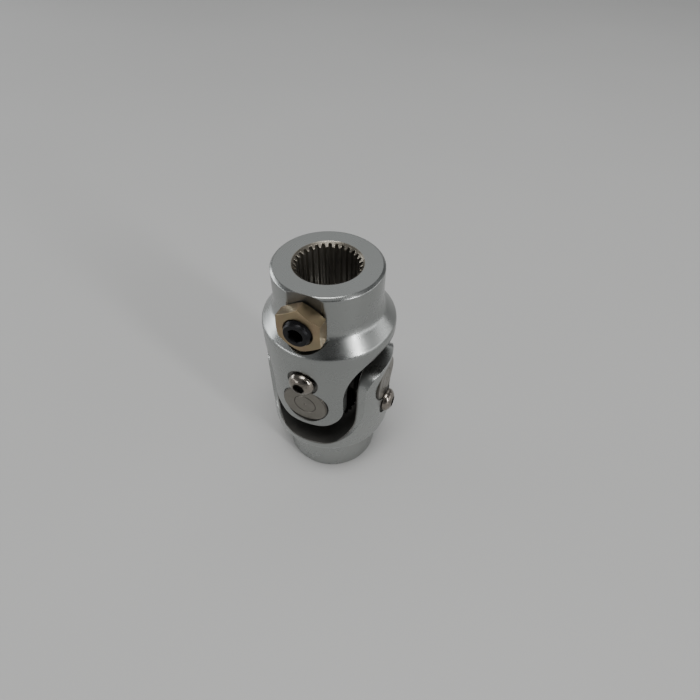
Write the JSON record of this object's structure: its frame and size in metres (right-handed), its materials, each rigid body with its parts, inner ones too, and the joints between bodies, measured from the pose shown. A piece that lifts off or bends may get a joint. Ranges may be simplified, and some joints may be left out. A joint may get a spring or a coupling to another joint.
{
  "type": "universal joint shaft",
  "caption": "Single steering-type universal joint: two splined hub yokes joined by a cross in needle bearing cups, with keeper screws, a set screw and a jam nut on each hub.",
  "frame": {"origin": "centre of the lower hub's end face, on the shaft axis", "axes": "+Z along the shaft axis from the lower hub to the upper hub; +Y and -Y through the upper yoke's ears, the set screw of the upper hub facing -Y; +X and -X through the lower yoke's ears"},
  "size_m": [0.0448, 0.0448, 0.0794],
  "materials": {
    "yoke": "bright polished and chromed, softly reflective",
    "cross": "dark forged steel, ground on the trunnions",
    "cup": "satin brownish grey, turned face",
    "rollers": "ground steel",
    "pad": "plain moulded plastic",
    "seal": "matt black rubber",
    "keeper": "bright domed head",
    "set_screw": "black oxide, slightly oily",
    "jam_nut": "yellow zinc plate"
  },
  "bodies": {
    "lower_fork": {"lower_yoke": "yoke", "bearing_cup_lower_left": "cup", "needle_rollers_lower_left": "rollers", "thrust_pad_lower_left": "pad", "keeper_screw_lower_left": "keeper", "bearing_cup_lower_right": "cup", "needle_rollers_lower_right": "rollers", "thrust_pad_lower_right": "pad", "keeper_screw_lower_right": "keeper"},
    "cross": {"cross_spider": "cross", "seal_upper_front": "seal", "seal_upper_back": "seal", "seal_lower_left": "seal", "seal_lower_right": "seal"},
    "upper_fork": {"upper_yoke": "yoke", "bearing_cup_upper_front": "cup", "needle_rollers_upper_front": "rollers", "thrust_pad_upper_front": "pad", "keeper_screw_upper_front": "keeper", "bearing_cup_upper_back": "cup", "needle_rollers_upper_back": "rollers", "thrust_pad_upper_back": "pad", "keeper_screw_upper_back": "keeper"},
    "upper_set_screw": {"set_screw_upper": "set_screw"},
    "upper_jam_nut": {"jam_nut_upper": "jam_nut"},
    "lower_set_screw": {"set_screw_lower": "set_screw"},
    "lower_jam_nut": {"jam_nut_lower": "jam_nut"}
  },
  "joints": [
    {"name": "lower_trunnion", "type": "hinge", "parent": "lower_fork", "child": "cross", "pos_m": [0, 0, 0.0397], "axis": [1, 0, 0], "range_deg": [-25, 25]},
    {"name": "upper_trunnion", "type": "hinge", "parent": "cross", "child": "upper_fork", "pos_m": [0, 0, 0.0397], "axis": [0, 1, 0], "range_deg": [-25, 25]},
    {"name": "upper_set_screw_travel", "type": "slide", "parent": "upper_fork", "child": "upper_set_screw", "axis": [0, -1, 0], "range_m": [-0.0012, 0.005]},
    {"name": "upper_jam_nut_turn", "type": "hinge", "parent": "upper_fork", "child": "upper_jam_nut", "pos_m": [0, -0.0175, 0.0701], "axis": [0, -1, 0], "range_deg": [-90, 90]},
    {"name": "lower_set_screw_travel", "type": "slide", "parent": "lower_fork", "child": "lower_set_screw", "axis": [-1, 0, 0], "range_m": [-0.0012, 0.005]},
    {"name": "lower_jam_nut_turn", "type": "hinge", "parent": "lower_fork", "child": "lower_jam_nut", "pos_m": [-0.0175, 0, 0.0093], "axis": [-1, 0, 0], "range_deg": [-90, 90]}
  ]
}
